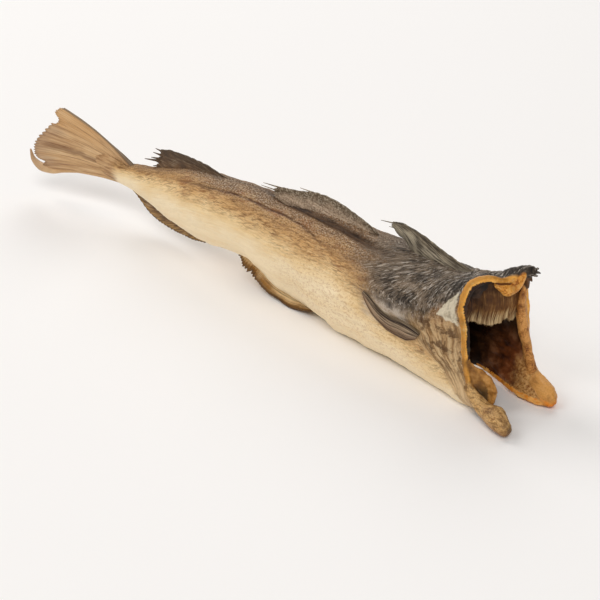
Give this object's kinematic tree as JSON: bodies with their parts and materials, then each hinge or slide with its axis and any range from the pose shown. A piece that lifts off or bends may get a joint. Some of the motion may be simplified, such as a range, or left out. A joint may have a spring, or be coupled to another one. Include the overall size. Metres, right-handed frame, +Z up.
{
  "type": "stockfish",
  "caption": "Air-dried headless cod lying on its belly, with an open neck, hollow belly, ragged fins and a bent tail fin.",
  "frame": {"origin": "middle of the footprint, on the surface that the fish lies on", "axes": "+X along the body towards the open neck, +Z up, -Y towards the side whose breast fin the camera sees"},
  "size_m": [0.6114, 0.0796, 0.1155],
  "materials": {
    "dried_skin": "dry, faintly glossy fish skin, grey on the back and straw yellow on the belly",
    "cut_rim": "ochre cut edge of the skin, waxy",
    "inner_flesh": "dark brown dried flesh and lining, fibrous",
    "fins": "thin dry fin with fine rays"
  },
  "bodies": {
    "root": {"stockfish": "dried_skin"}
  },
  "joints": []
}
